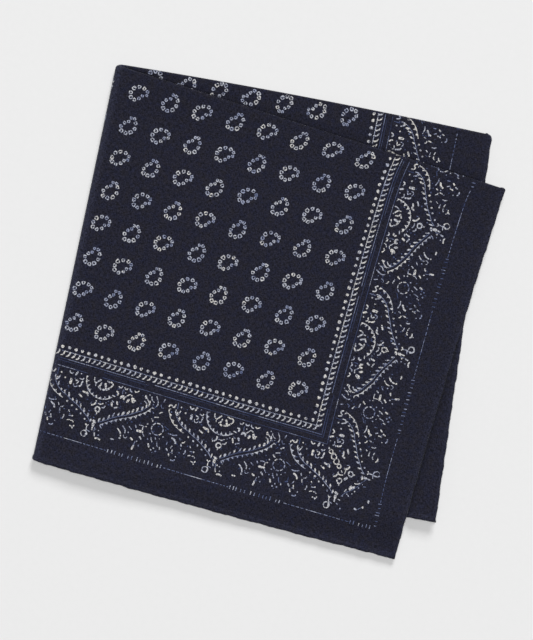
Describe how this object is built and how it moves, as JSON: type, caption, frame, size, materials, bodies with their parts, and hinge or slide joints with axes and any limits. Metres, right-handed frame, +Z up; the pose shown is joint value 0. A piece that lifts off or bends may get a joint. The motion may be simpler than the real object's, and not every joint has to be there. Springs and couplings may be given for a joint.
{
  "type": "folded pocket square",
  "caption": "Dark indigo cotton pocket square with a printed bandana pattern and rolled hems, folded flat with its leaves slightly askew.",
  "frame": {"origin": "centre of the folded cloth's outline, on the surface it lies on", "axes": "+Z up out of the cloth's top leaf; +Y towards the far side, which is two folds; -X towards the outer fold"},
  "size_m": [0.1706, 0.1822, 0.0051],
  "materials": {
    "cotton": "matt cotton twill, dyed dark indigo",
    "hem": "matt cotton twill, rolled and stitched",
    "print": "matt ecru discharge print"
  },
  "bodies": {
    "root": {"upper_leaf": "cotton", "upper_far_fold": "cotton", "left_fold": "cotton", "inner_layers": "cotton", "lower_far_fold": "cotton", "base_leaf": "cotton", "hem_upper_right": "hem", "hem_upper_near": "hem", "hem_second_right": "hem", "hem_second_near": "hem", "hem_third_right": "hem", "hem_third_near": "hem", "hem_base_right": "hem", "hem_base_near": "hem"}
  },
  "joints": []
}
